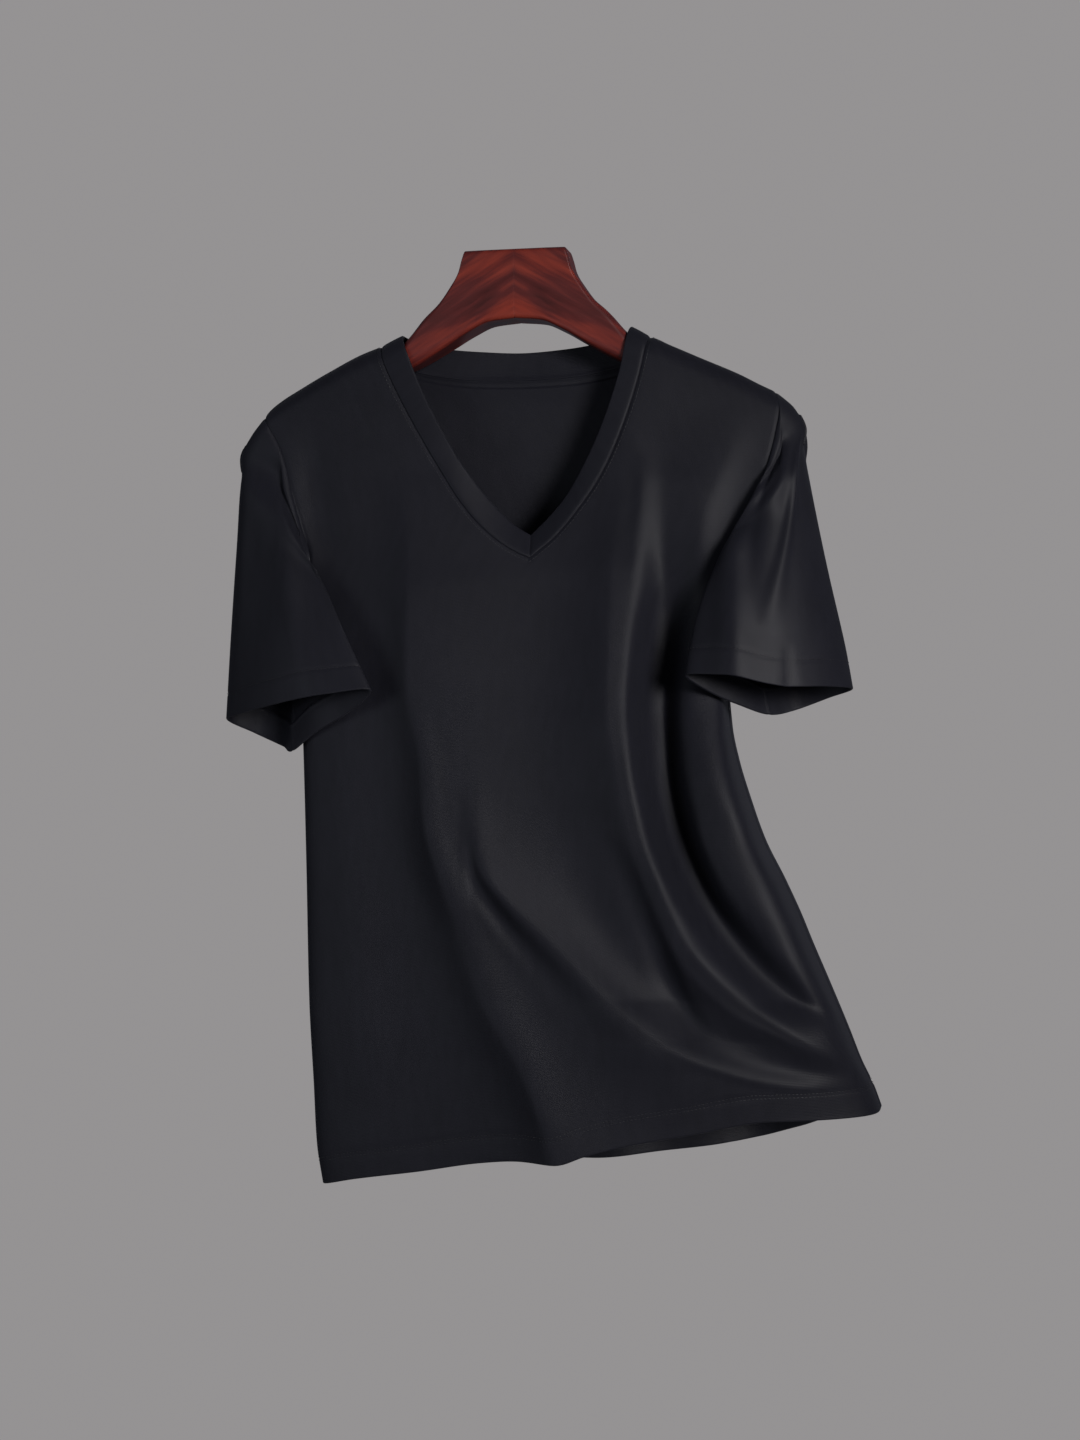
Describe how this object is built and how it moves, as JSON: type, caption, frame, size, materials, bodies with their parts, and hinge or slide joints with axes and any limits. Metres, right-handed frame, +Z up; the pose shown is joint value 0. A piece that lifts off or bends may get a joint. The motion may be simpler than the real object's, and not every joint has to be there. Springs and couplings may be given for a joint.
{
  "type": "v-neck t-shirt on a wooden hanger",
  "caption": "Short-sleeved v-neck t-shirt in thin dark jersey, hanging in soft folds from a wooden hanger, with neck, hem and cuffs open.",
  "frame": {"origin": "centre of the flat top face of the hanger, where it is held", "axes": "+Z up, +X along the hanger towards the viewer's right, the shirt's front faces -Y"},
  "size_m": [0.513, 0.1306, 0.721],
  "materials": {
    "cloth_black": "matte",
    "wood_mahogany": "satin"
  },
  "bodies": {
    "root": {"front_panel": "cloth_black", "back_panel": "cloth_black", "sleeve_left": "cloth_black", "sleeve_right": "cloth_black", "neckband": "cloth_black", "hanger": "wood_mahogany"}
  },
  "joints": []
}
